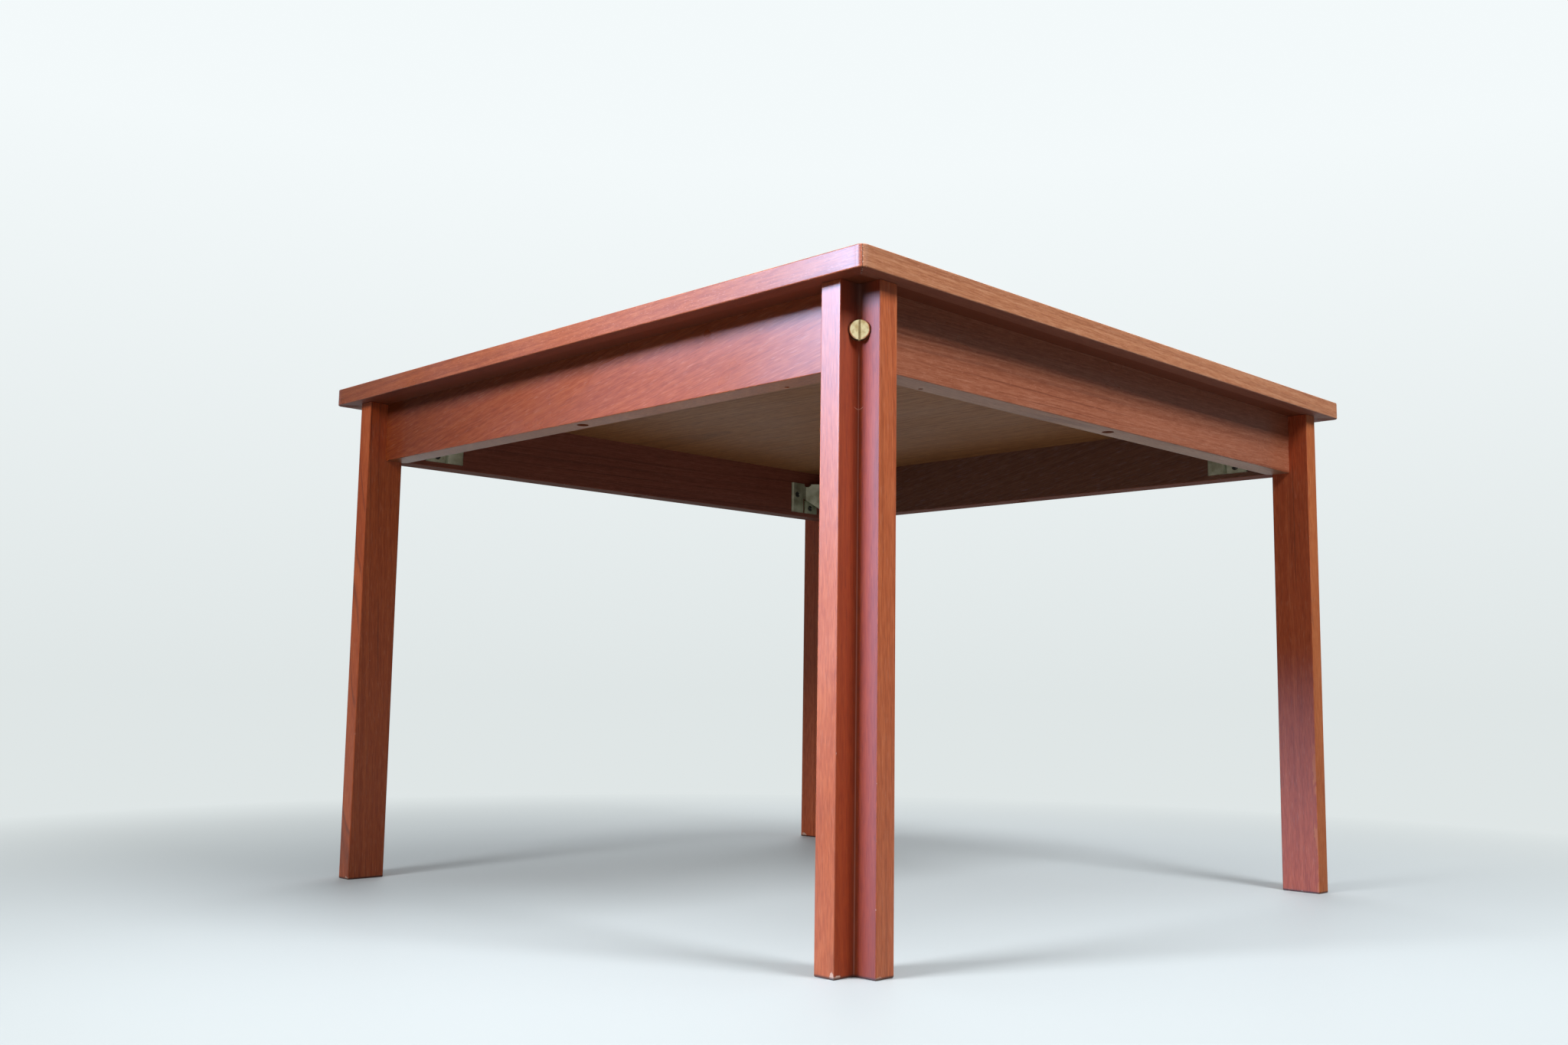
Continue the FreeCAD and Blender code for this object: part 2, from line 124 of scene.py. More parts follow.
class Graph:
    """The node tree of a material or of the world, with short calls that add nodes."""

    def __init__(self, owner):
        owner.use_nodes = True
        self.tree = owner.node_tree
        self.tree.nodes.clear()

    def add(self, kind, **settings):
        """A new node of a kind, with its plain settings."""
        node = self.tree.nodes.new("ShaderNode" + kind)
        for name, value in settings.items():
            setattr(node, name, value)
        return node

    def feed(self, socket, value):
        """Links a socket to an input, or sets the input's own value."""
        if isinstance(value, bpy.types.NodeSocket):
            self.tree.links.new(value, socket)
        else:
            socket.default_value = value

    def math(self, operation, *values):
        """A number worked out from others."""
        node = self.add("Math", operation=operation)
        for socket, value in zip(node.inputs, values):
            self.feed(socket, value)
        return node.outputs[0]

    def vector(self, x, y, z):
        """A vector from its three parts."""
        node = self.add("CombineXYZ")
        for socket, value in zip(node.inputs, (x, y, z)):
            self.feed(socket, value)
        return node.outputs[0]

    def place(self):
        """The three object coordinates."""
        parts = self.add("SeparateXYZ")
        self.feed(parts.inputs[0], self.add("TexCoord").outputs["Object"])
        return tuple(parts.outputs)

    def sides(self):
        """The distances from the table's middle along X and along Y, and the height."""
        x, y, z = self.place()
        return self.math("ABSOLUTE", x), self.math("ABSOLUTE", y), z

    def scaled(self, place, rate):
        """A place as a vector, multiplied by a rate."""
        return self.vector(*(self.math("MULTIPLY", part, rate) for part in place))

    def length(self, vector):
        """The length of a vector."""
        node = self.add("VectorMath", operation="LENGTH")
        self.feed(node.inputs[0], vector)
        return node.outputs["Value"]

    def noise(self, vector, detail=2.0, roughness=0.5):
        """Smooth noise from 0 to 1 that changes over one unit of the vector."""
        node = self.add("TexNoise", noise_dimensions="3D")
        self.feed(node.inputs["Vector"], vector)
        node.inputs["Scale"].default_value = 1.0
        node.inputs["Detail"].default_value = detail
        node.inputs["Roughness"].default_value = roughness
        return node.outputs["Fac"]

    def line_noise(self, place, detail=2.0, roughness=0.5):
        """Smooth noise from 0 to 1 along a line."""
        node = self.add("TexNoise", noise_dimensions="1D")
        self.feed(node.inputs["W"], place)
        node.inputs["Scale"].default_value = 1.0
        node.inputs["Detail"].default_value = detail
        node.inputs["Roughness"].default_value = roughness
        return node.outputs["Fac"]

    def spread(self, value, low, high, to_low=0.0, to_high=1.0):
        """A value mapped from one range to another, and held inside it."""
        node = self.add("MapRange", clamp=True)
        for socket, number in zip(node.inputs, (value, low, high, to_low, to_high)):
            self.feed(socket, number)
        return node.outputs[0]

    def below(self, value, low, high, share=1.0):
        """A share where a value is under a range, and none above it."""
        return self.spread(value, low, high, share, 0.0)

    def product(self, *shares):
        """Shares multiplied together."""
        result = shares[0]
        for share in shares[1:]:
            result = self.math("MULTIPLY", result, share)
        return result

    def blend(self, share, first, second, mode="MIX"):
        """Two colours mixed by a share."""
        node = self.add("Mix", data_type="RGBA", blend_type=mode)
        self.feed(node.inputs[0], share)
        for socket, colour in zip((node.inputs[6], node.inputs[7]), (first, second)):
            self.feed(socket, colour if isinstance(colour, bpy.types.NodeSocket) else (*colour, 1.0))
        return node.outputs[2]

    def ramp(self, value, stops):
        """A colour read from a ramp of (place, colour) stops."""
        node = self.add("ValToRGB")
        elements = node.color_ramp.elements
        while len(elements) < len(stops):
            elements.new(1.0)
        for element, (place, colour) in zip(elements, stops):
            element.position = place
            element.color = (*colour, 1.0)
        self.feed(node.inputs[0], value)
        return node.outputs[0]

    def bump(self, height, distance, strength):
        """A normal bent by a height from 0 to 1, over a distance in metres."""
        node = self.add("Bump")
        node.inputs["Strength"].default_value = strength
        node.inputs["Distance"].default_value = distance
        self.feed(node.inputs["Height"], height)
        return node.outputs["Normal"]

    def surface(self, **values):
        """The principled shader as the surface of a material."""
        shader = self.add("BsdfPrincipled")
        for name, value in values.items():
            plain = name.replace("_", " ").title().replace("Ior", "IOR")
            self.feed(shader.inputs[plain], value)
        self.tree.links.new(shader.outputs[0], self.add("OutputMaterial").inputs[0])
        return shader


def new_material(name):
    """A material and its graph."""
    material = bpy.data.materials.new(name)
    return material, Graph(material)


# Wood. Object coordinates are the table's own, in metres, so rates are counts a metre.

# Colours
teak_dark = (0.330, 0.068, 0.019)
teak_middle = (0.425, 0.098, 0.029)
teak_light = (0.500, 0.135, 0.045)
underside_dark = (0.200, 0.078, 0.024)
underside_middle = (0.330, 0.131, 0.043)
underside_light = (0.420, 0.200, 0.074)
# Red stain on the overhang's underside, laid dark as painted shade.
overhang_stain_and_shade_colour = (0.150, 0.034, 0.012)
pore_colour = (0.170, 0.030, 0.010)
line_colour = (0.130, 0.026, 0.012)
fleck_colour = (0.640, 0.290, 0.190)
chip_colour = (0.760, 0.560, 0.460)
rubbed_colour = (0.560, 0.160, 0.045)
# Dark seams and joints; the same colour is also laid as painted shadow in the notch and at the foot.
seam_and_shadow_colour = (0.060, 0.020, 0.012)
# A painted highlight down the corner of the notch.
painted_highlight_colour = (0.640, 0.260, 0.180)

# Tints, which multiply a colour. The notch, overhang, far-end and underside tints are painted shade, except
# the pale underside tint, which is a painted reflection.
lipping_tint = (1.00, 1.12, 1.18)
pale_lipping_tint = (1.14, 2.05, 3.40)
apron_tint = (0.90, 0.86, 0.82)
top_tint = (0.78, 0.86, 0.98)
brown_tint = (0.83, 1.20, 2.10)
# Painted shade in the leg's notch.
painted_notch_shade_tint = (0.60, 0.32, 0.12)
# On the apron's underside: pale as painted reflection, dark as painted shade.
painted_underside_reflection_tint = (0.98, 1.28, 1.26)
painted_underside_shade_tint = (0.40, 0.34, 0.30)
side_tint = (0.98, 1.40, 1.25)
# Painted shade under the lipping.
painted_overhang_shade_tint = (0.42, 0.30, 0.30)
# Painted shade towards the far end of the front boards.
painted_far_lipping_shade_tint = (0.80, 0.72, 0.50)
painted_far_shade_tint = (0.56, 0.48, 0.34)

# The figure, with stretches along the grain
tone_stops = (0.36, 0.50, 0.64)
fibre_rate = 900.0
fibre_stretch = 13.0
fibre_share = 0.56
fibre_relief = 0.40
ring_rate = 240.0
ring_share = 0.30
ring_roughness = 0.6
warp_rate = 14.0
warp_stretch = 4.0
warp_reach = 0.012
band_rate = 55.0
band_stretch = 9.0
band_share = 0.14
grain_depth = 0.00008
grain_strength = 0.4

# Growth lines, pores, flecks and smudges
line_rate = 105.0
line_width = 0.030
line_patch_rate = 26.0
line_patch_stretch = 7.0
line_patch_range = (0.44, 0.60)
pore_rate = 1500.0
pore_stretch = 14.0
pore_range = (0.60, 0.72)
pore_share = 0.30
pore_relief = 0.35
fleck_range = (0.60, 0.74)
fleck_relief = 0.10
smudge_rate = 20.0
smudge_stretch = 2.0
smudge_amount = 0.16

# Joints and seams, with widths in metres
skin = 0.0006
joint_half_width = 0.00012
joint_share = 0.40
seam_width = 0.00022
seam_share = 0.75
dot_rate = 900.0
dot_range = (0.60, 0.66)
dot_reach = (0.0004, 0.0012)
dot_share = 0.85
mitre_reach = (0.003, 0.010)
mitre_dulling = 0.22

# Worn arrises
wear_width = 0.0011
wear_share = 0.34
chip_rate = 330.0
chip_lift = 0.26
chip_range = (0.86, 0.91)
chip_share = 0.80
chip_dulling = 0.25
chip_relief = 0.8
rub_rate = 170.0
rub_stretch = 3.0
rub_width = 0.030
rub_range = (0.0130, 0.0138)
rub_fade = 0.05
rub_share = 0.85

# The leg's foot, its scuffs and its painted contact shadow, with heights in metres
scuff_rate = 75.0
scuff_zone = (0.002, 0.010)
scuff_lift = 0.22
scuff_range = (0.79, 0.83)
scuff_share = 0.75
scuff_dulling = 0.25
painted_contact_shadow = (0.0012, 0.0022)
painted_contact_shadow_share = 0.85

# The leg's notch: its painted shadow above the screw, its painted highlight below it and its scratch, with
# lengths in metres
painted_shadow_reach = (0.004, 0.018)
painted_shadow_rise = 0.022
painted_shadow_share = 0.78
painted_highlight_reach = (0.0003, 0.0008)
painted_highlight_share = 0.50
painted_highlight_drop = (0.020, 0.014)
scratch_height = 0.3945
scratch_half_length = 0.0048
scratch_half_width = 0.00020
scratch_bow = 75.0
scratch_taper = 0.8
scratch_share = 0.75


def tinted(colours, tint):
    """Colours multiplied by a tint."""
    return tuple(tuple(part * share for part, share in zip(colour, tint)) for colour in colours)


class Board:
    """A wood surface: coordinates along its grain, and its colour, roughness and height as they build up."""

    def __init__(self, graph, along, heart, tilt, seed):
        self.graph = graph
        self.place = graph.place()
        x, y, z = self.place
        across, depth, length = {"x": (y, z, x), "y": (x, z, y), "z": (x, y, z)}[along]
        self.across = graph.math("MULTIPLY_ADD", length, tilt[0], graph.math("SUBTRACT", across, heart[0]))
        self.depth = graph.math("MULTIPLY_ADD", length, tilt[1], graph.math("SUBTRACT", depth, heart[1]))
        self.length = graph.math("ADD", length, seed)
        self.colour = None
        self.rough = None
        self.height = None

    def fold(self, width):
        """Mirrors the board about lines a leaf apart, as matched veneer is laid."""
        self.across = self.graph.math("PINGPONG", self.across, width)

    def sides(self):
        """The distances from the table's middle along X and along Y."""
        x, y, _ = self.place
        return self.graph.math("ABSOLUTE", x), self.graph.math("ABSOLUTE", y)

    def reach(self):
        """The larger distance from the table's middle."""
        return self.graph.math("MAXIMUM", *self.sides())

    def nearer(self):
        """The smaller distance from the table's middle."""
        return self.graph.math("MINIMUM", *self.sides())

    def off_diagonal(self):
        """How far the place is from the table's diagonals, with a sign."""
        return self.graph.math("SUBTRACT", *self.sides())

    def streaks(self, rate, stretch, detail=2.0):
        """Noise that is drawn out along the grain."""
        graph = self.graph
        across = graph.math("MULTIPLY", self.across, rate)
        depth = graph.math("MULTIPLY", self.depth, rate)
        length = graph.math("MULTIPLY", self.length, rate / stretch)
        return graph.noise(graph.vector(across, depth, length), detail)

    def rings(self, rate):
        """Noise that follows the growth rings."""
        graph = self.graph
        waves = self.streaks(warp_rate, warp_stretch)
        ring = graph.length(graph.vector(self.across, self.depth, 0.0))
        ring = graph.math("MULTIPLY_ADD", waves, warp_reach, ring)
        return graph.line_noise(graph.math("MULTIPLY", ring, rate), roughness=ring_roughness)

    def figure(self, colours):
        """The broad colour, from fibres, rings and bands."""
        graph = self.graph
        fibres = self.streaks(fibre_rate, fibre_stretch, detail=3.0)
        tone = graph.math("MULTIPLY", fibres, fibre_share)
        tone = graph.math("MULTIPLY_ADD", self.rings(ring_rate), ring_share, tone)
        tone = graph.math("MULTIPLY_ADD", self.streaks(band_rate, band_stretch), band_share, tone)
        self.colour = graph.ramp(tone, list(zip(tone_stops, colours)))
        self.height = graph.math("MULTIPLY", fibres, fibre_relief)

    def lay(self, share, colour):
        """Lays a colour over the surface by a share."""
        self.colour = self.graph.blend(share, self.colour, colour)

    def shade(self, share, tint):
        """Multiplies the colour by a tint, by a share."""
        self.colour = self.graph.blend(share, self.colour, tint, "MULTIPLY")

    def dull(self, share, amount):
        """Adds roughness by a share."""
        self.rough = self.graph.math("MULTIPLY_ADD", share, amount, self.rough)

    def joints(self, width):
        """The thin lines where folded leaves meet."""
        graph = self.graph
        middle = width / 2
        from_middle = graph.math("ABSOLUTE", graph.math("SUBTRACT", self.across, middle))
        to_joint = graph.math("SUBTRACT", middle, from_middle)
        self.lay(graph.below(to_joint, joint_half_width, joint_half_width * 3, joint_share), seam_and_shadow_colour)

    def lines(self, amount):
        """Thin dark growth lines that come and go along the board."""
        graph = self.graph
        away = graph.math("ABSOLUTE", graph.math("SUBTRACT", self.rings(line_rate), 0.5))
        line = graph.below(away, 0.0, line_width)
        shown = graph.spread(self.streaks(line_patch_rate, line_patch_stretch), *line_patch_range)
        self.lay(graph.product(line, shown, amount), line_colour)

    def pores(self):
        """Short dark pores, slightly sunk."""
        graph = self.graph
        pores = graph.spread(self.streaks(pore_rate, pore_stretch, detail=1.0), *pore_range)
        self.lay(graph.math("MULTIPLY", pores, pore_share), pore_colour)
        self.height = graph.math("SUBTRACT", self.height, graph.math("MULTIPLY", pores, pore_relief))

    def flecks(self, rate, stretch, amount):
        """Pale flecks along the grain."""
        graph = self.graph
        flecks = graph.spread(self.streaks(rate, stretch, detail=1.0), *fleck_range)
        self.lay(graph.math("MULTIPLY", flecks, amount), fleck_colour)
        self.height = graph.math("MULTIPLY_ADD", flecks, fleck_relief, self.height)

    def smudges(self, gloss):
        """Roughness that changes in soft smudges."""
        smudges = self.streaks(smudge_rate, smudge_stretch, detail=3.0)
        self.rough = self.graph.math("MULTIPLY_ADD", smudges, smudge_amount, gloss)

    def foot(self):
        """A painted contact shadow, a dark line where the leg meets the floor, under pale scuffs."""
        graph = self.graph
        z = self.place[2]
        low = graph.below(z, *scuff_zone)
        marks = graph.noise(graph.scaled(self.place, scuff_rate), detail=3.0)
        scuffs = graph.spread(graph.math("MULTIPLY_ADD", low, scuff_lift, marks), *scuff_range)
        self.lay(graph.math("MULTIPLY", scuffs, scuff_share), chip_colour)
        self.dull(scuffs, scuff_dulling)
        # Painted contact shadow along the foot.
        self.lay(graph.below(z, *painted_contact_shadow, painted_contact_shadow_share), seam_and_shadow_colour)

    def rub(self, height):
        """A side that has lost its red stain, and ragged patches round its arris up to a height."""
        graph = self.graph
        z = self.place[2]
        rates = (rub_rate, rub_rate, rub_rate / rub_stretch)
        rated = (graph.math("MULTIPLY", part, rate) for part, rate in zip(self.place, rates))
        marks = graph.noise(graph.vector(*rated), detail=3.0)
        x, _ = self.sides()
        reached = graph.math("MULTIPLY_ADD", marks, rub_width, x)
        worn = graph.spread(reached, leg_face + rub_range[0], leg_face + rub_range[1])
        low = graph.below(z, height, height + rub_fade, rub_share)
        side = graph.spread(x, leg_face - skin, leg_face - skin / 2)
        front = graph.math("SUBTRACT", 1.0, side)
        self.lay(graph.product(worn, low, front), rubbed_colour)
        self.shade(side, side_tint)

    def wear(self, distance):
        """Darker arrises with small pale chips."""
        graph = self.graph
        near = graph.below(distance, 0.0, wear_width)
        nicks = graph.noise(graph.scaled(self.place, chip_rate), detail=3.0)
        chips = graph.spread(graph.math("MULTIPLY_ADD", near, chip_lift, nicks), *chip_range)
        self.lay(graph.math("MULTIPLY", near, wear_share), teak_dark)
        self.lay(graph.math("MULTIPLY", chips, chip_share), chip_colour)
        self.dull(chips, chip_dulling)
        self.height = graph.math("SUBTRACT", self.height, graph.math("MULTIPLY", chips, chip_relief))

    def scratch(self):
        """A short pale scratch across the notch, bowed down in its middle."""
        graph = self.graph
        along = self.off_diagonal()
        bow = graph.math("MULTIPLY", graph.math("MULTIPLY", along, along), scratch_bow)
        apart = graph.math("SUBTRACT", graph.math("SUBTRACT", self.place[2], scratch_height), bow)
        line = graph.below(graph.math("ABSOLUTE", apart), scratch_half_width, scratch_half_width * 2)
        along = graph.math("ABSOLUTE", along)
        shown = graph.below(along, scratch_half_length * scratch_taper, scratch_half_length)
        self.lay(graph.product(line, shown, scratch_share), fleck_colour)

    def corner(self):
        """Painted shadow in a notch above its screw, and a painted highlight, a paler line, down the notch's
        corner below it.
        """
        graph = self.graph
        z = self.place[2]
        apart = graph.math("ABSOLUTE", self.off_diagonal())
        notch = graph.spread(self.nearer(), notch_face - 2 * skin, notch_face - skin)
        # Painted shadow in the notch above the screw.
        near = graph.below(apart, *painted_shadow_reach)
        high = graph.spread(z, screw_height, screw_height + painted_shadow_rise, 0.0, painted_shadow_share)
        self.lay(graph.product(near, high, notch), seam_and_shadow_colour)
        # Painted highlight down the notch's corner below the screw.
        line = graph.below(apart, *painted_highlight_reach, painted_highlight_share)
        low = graph.below(z, screw_height - painted_highlight_drop[0], screw_height - painted_highlight_drop[1])
        self.lay(graph.product(line, low, notch), painted_highlight_colour)

    def mitre(self):
        """The glued seam of a mitre, with pale dots beside it."""
        graph = self.graph
        apart = graph.math("ABSOLUTE", self.off_diagonal())
        self.lay(graph.below(apart, seam_width, seam_width * 3, seam_share), seam_and_shadow_colour)
        dots = graph.spread(graph.noise(graph.scaled(self.place, dot_rate), detail=1.0), *dot_range)
        self.lay(graph.product(dots, graph.below(apart, *dot_reach), dot_share), chip_colour)
        self.dull(graph.below(apart, *mitre_reach), mitre_dulling)

    def finish(self, level):
        """The shader of the surface."""
        graph = self.graph
        normal = graph.bump(self.height, grain_depth, grain_strength)
        graph.surface(base_color=self.colour, roughness=self.rough, specular_ior_level=level, normal=normal)


def edge_of_lipping(board):
    """Distance to the nearest outer edge of the top's rim."""
    graph = board.graph
    z = board.place[2]
    from_rim = graph.math("SUBTRACT", half_width, board.reach())
    to_top = graph.math("SUBTRACT", top_height, z)
    to_bottom = graph.math("SUBTRACT", z, top_underside)
    return graph.math("MAXIMUM", from_rim, graph.math("MINIMUM", to_top, to_bottom))


def edge_of_apron(board):
    """Distance to the nearest lower edge of an apron."""
    graph = board.graph
    reach = board.reach()
    from_face = graph.math("SUBTRACT", apron_face, reach)
    from_back = graph.math("SUBTRACT", reach, apron_back)
    above = graph.math("SUBTRACT", board.place[2], apron_foot)
    return graph.math("MAXIMUM", graph.math("MINIMUM", from_face, from_back), above)


def edge_of_leg(board):
    """Distance to the nearest arris of a leg, or to its foot."""
    graph = board.graph
    x, y = board.sides()
    nearest = graph.math("ADD", board.place[2], wear_width / 2)
    for corner in leg_arrises:
        apart = graph.vector(graph.math("SUBTRACT", x, corner[0]), graph.math("SUBTRACT", y, corner[1]), 0.0)
        nearest = graph.math("MINIMUM", nearest, graph.length(apart))
    return nearest


def new_board(name, along, heart, tilt, seed):
    """A material and the board that it starts from."""
    material, graph = new_material(name)
    return material, Board(graph, along, heart, tilt, seed)


def lipping(name, along, heart, tilt, colours, seed, darker=None):
    """Solid edging of the top, mitred at the corners, with painted shade underneath and, where a span is
    given, painted shade towards one end.
    """
    material, board = new_board(name, along, heart, tilt, seed)
    graph = board.graph
    board.figure(colours)
    board.lines(amount=0.25)
    board.pores()
    board.flecks(rate=1250.0, stretch=3.5, amount=0.42)
    board.smudges(gloss=0.21)
    # Painted shade towards the far end.
    if darker:
        board.shade(graph.spread(board.place[0], *darker), painted_far_lipping_shade_tint)
    # Painted shade on the underside of the lipping.
    under = graph.below(board.place[2], top_underside, top_underside + skin)
    board.shade(under, painted_overhang_shade_tint)
    board.dull(under, amount=0.30)
    board.wear(edge_of_lipping(board))
    board.mitre()
    board.finish(level=0.36)
    return material


def apron(name, along, heart, tilt, colours, seed, lines, flecks,
          level, painted_inside_shade, foot, foot_dulling, darker=None):
    """A board under the top, with painted shade on its inner face and a painted tint underneath: reflection
    on the front and right aprons, shade on the rear and left.
    """
    material, board = new_board(name, along, heart, tilt, seed)
    graph = board.graph
    board.figure(colours)
    if lines:
        board.lines(lines)
    board.pores()
    board.flecks(**flecks)
    board.smudges(gloss=0.21)
    # Painted shade towards the far end.
    if darker:
        far = graph.spread(board.place[0], *darker)
        board.shade(far, painted_far_shade_tint)
        board.dull(far, amount=-0.08)
    # Painted shade on the inner face.
    inside = graph.below(board.reach(), apron_back, apron_back + skin)
    beneath = graph.below(board.place[2], apron_foot, apron_foot + skin)
    board.shade(inside, painted_inside_shade)
    # The underside's tint: a painted reflection on the front and right aprons, painted shade on the rear and
    # left.
    board.shade(beneath, foot)
    board.dull(graph.math("MAXIMUM", inside, beneath), amount=0.22)
    board.dull(beneath, foot_dulling)
    board.wear(edge_of_apron(board))
    board.finish(level)
    return material


def leg(name, seed, heart, tint, lines, gloss, level=0.50, scratched=False, rubbed_to=0.0):
    """A leg with painted shade in its notch, a painted contact shadow at its foot and worn arrises."""
    material, board = new_board(name, along="z", heart=heart, tilt=(0.02, 0.03), seed=seed)
    board.figure(tinted(teak, tint))
    board.lines(lines)
    board.pores()
    board.flecks(rate=900.0, stretch=9.0, amount=0.18)
    board.smudges(gloss)
    # Painted shade in the notch.
    notch = board.graph.spread(board.nearer(), notch_face - skin, notch_face)
    board.shade(notch, painted_notch_shade_tint)
    board.dull(notch, amount=0.27)
    board.corner()
    if scratched:
        board.scratch()
    if rubbed_to:
        board.rub(rubbed_to)
    board.wear(edge_of_leg(board))
    board.foot()
    board.finish(level)
    return material


def top_veneer(name):
    """Matched leaves of veneer, polished."""
    material, board = new_board(name, along="x", heart=(0.0, 0.42), tilt=(0.01, 0.03), seed=4.0)
    board.fold(leaf_width)
    board.figure(top_teak)
    board.lines(amount=0.50)
    board.joints(leaf_width)
    board.pores()
    board.flecks(rate=900.0, stretch=9.0, amount=0.16)
    board.smudges(gloss=0.32)
    board.finish(level=0.50)
    return material


def underside_veneer(name):
    """Matched leaves of plainer veneer, unpolished, and stained red and darkened as painted shade where it
    overhangs the aprons.
    """
    material, board = new_board(name, along="x", heart=(0.0, 0.42), tilt=(0.01, 0.02), seed=6.0)
    board.fold(leaf_width)
    board.figure(underside_tones)
    board.lines(amount=0.16)
    board.joints(leaf_width)
    board.pores()
    board.smudges(gloss=0.50)
    # Red stain and painted shade on the overhang.
    board.lay(board.graph.spread(board.reach(), apron_face - skin, apron_face), overhang_stain_and_shade_colour)
    board.finish(level=0.20)
    return material


# Particle board
flake_rate = 420.0
flake_depth = 0.0003
flake_strength = 0.5
flake_stops = ((0.1, (0.36, 0.24, 0.13)), (0.6, (0.52, 0.38, 0.22)), (1.0, (0.66, 0.52, 0.33)))


def core_board(name):
    """Particle board: pale flakes pressed in resin."""
    material, graph = new_material(name)
    cells = graph.add("TexVoronoi", feature="F1")
    graph.feed(cells.inputs["Vector"], graph.vector(*graph.place()))
    cells.inputs["Scale"].default_value = flake_rate
    parts = graph.add("SeparateColor")
    graph.feed(parts.inputs[0], cells.outputs["Color"])
    colour = graph.ramp(parts.outputs[0], flake_stops)
    normal = graph.bump(cells.outputs["Distance"], flake_depth, flake_strength)
    graph.surface(base_color=colour, roughness=0.9, normal=normal)
    return material


# Metal, with rates a metre and lengths in metres
brass_light = (0.930, 0.780, 0.470)
brass_dark = (0.660, 0.480, 0.230)
tarnish = (0.100, 0.062, 0.028)
tarnish_depth = (0.0007, 0.0016)
tarnish_shares = (0.35, 0.90)
tarnish_roughness = 0.30
brass_cloud_rate = 260.0
brass_cloud_range = (0.40, 0.66)
brass_cloud_roughness = 0.20
brass_roughness = 0.22
turning_rate = 3200.0
turning_roughness = 0.7
turning_depth = 0.00006
turning_strength = 0.7
thread_pitch = 0.00125
thread_start = 0.050
thread_run_in = 0.0005
thread_relief = 12.0
slot_half = 0.0009
slot_blur = 0.0002
zinc_light = (0.560, 0.560, 0.430)
zinc_middle = (0.400, 0.400, 0.285)
zinc_dark = (0.250, 0.245, 0.165)
steel_light = (0.200, 0.190, 0.165)
steel_dark = (0.050, 0.046, 0.040)
cloud_stops = (0.34, 0.50, 0.68)
speck_ratio = 9
speck_range = (0.60, 0.72)
speck_share = 0.35
speck_depth = 0.00005
speck_strength = 0.4
cloud_roughness = 0.22


def brass_depth(graph, x, y):
    """How far a place lies behind the face of the screw's head, along the screw."""
    points = [vertex.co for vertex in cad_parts["leg_screw_front_right"].data.vertices]
    head_face = max(abs(point[0]) + abs(point[1]) for point in points)
    behind = graph.math("SUBTRACT", head_face, graph.math("ADD", x, y))
    return graph.math("MULTIPLY", behind, math.sqrt(0.5))


def thread(graph, deep, aside, height):
    """The ridge that winds round the shank, from 0 to 1."""
    turn = graph.math("DIVIDE", graph.math("ARCTAN2", height, aside), 2 * math.pi)
    ridge = graph.math("PINGPONG", graph.math("ADD", graph.math("DIVIDE", deep, thread_pitch), turn), 0.5)
    return graph.math("MULTIPLY", ridge, graph.spread(deep, thread_start, thread_start + thread_run_in))


def brass(name):
    """Turned brass with rings round the screw's axis, and tarnish in the slot and behind the face."""
    material, graph = new_material(name)
    x, y, z = graph.sides()
    deep = brass_depth(graph, x, y)
    aside = graph.math("MULTIPLY", graph.math("SUBTRACT", x, y), math.sqrt(0.5))
    height = graph.math("SUBTRACT", z, screw_height)
    radius = graph.length(graph.vector(aside, height, 0.0))
    rings = graph.line_noise(graph.math("MULTIPLY", radius, turning_rate), roughness=turning_roughness)
    relief = graph.math("MULTIPLY_ADD", thread(graph, deep, aside, height), thread_relief, rings)
    clouds = graph.noise(graph.scaled((x, y, z), brass_cloud_rate), detail=3.0)
    colour = graph.blend(graph.spread(clouds, *brass_cloud_range), brass_light, brass_dark)
    grime = graph.spread(deep, *tarnish_depth)
    slot = graph.spread(graph.math("ABSOLUTE", aside), slot_half, slot_half + slot_blur, *tarnish_shares)
    colour = graph.blend(graph.math("MULTIPLY", grime, slot), colour, tarnish)
    rough = graph.math("MULTIPLY_ADD", clouds, brass_cloud_roughness, brass_roughness)
    rough = graph.math("MULTIPLY_ADD", grime, tarnish_roughness, rough)
    normal = graph.bump(relief, turning_depth, turning_strength)
    graph.surface(base_color=colour, metallic=1.0, roughness=rough, normal=normal)
    return material


def plated(name, light, middle, dark, rate, gloss):
    """Metal with a dull, clouded skin."""
    material, graph = new_material(name)
    place = graph.place()
    clouds = graph.noise(graph.scaled(place, rate), detail=4.0)
    fine = graph.noise(graph.scaled(place, rate * speck_ratio), detail=1.0)
    specks = graph.spread(fine, *speck_range)
    colour = graph.ramp(clouds, list(zip(cloud_stops, (dark, middle, light))))
    colour = graph.blend(graph.math("MULTIPLY", specks, speck_share), colour, dark)
    rough = graph.math("MULTIPLY_ADD", clouds, cloud_roughness, gloss)
    normal = graph.bump(specks, speck_depth, speck_strength)
    graph.surface(base_color=colour, metallic=1.0, roughness=rough, normal=normal)
    return material


# Finishes of the nodes
teak = (teak_dark, teak_middle, teak_light)
lipping_teak = tinted(teak, lipping_tint)
pale_lipping_teak = tinted(teak, pale_lipping_tint)
apron_teak = tinted(teak, apron_tint)
top_teak = tinted(teak, top_tint)
brown_teak = tinted(teak, brown_tint)
underside_tones = (underside_dark, underside_middle, underside_light)
bright_flecks = {"rate": 1000.0, "stretch": 12.0, "amount": 0.26}
small_flecks = {"rate": 1100.0, "stretch": 4.0, "amount": 0.24}
# Painted shade: the front boards darken towards their far end.
painted_far_shade_span = (0.10, -0.30)  # from where to where along X the front boards darken
# The apron's underside: pale as painted reflection, dark as painted shade.
painted_underside_reflection = {"foot": painted_underside_reflection_tint, "foot_dulling": 0.0}
painted_underside_shade = {"foot": painted_underside_shade_tint, "foot_dulling": 0.30}
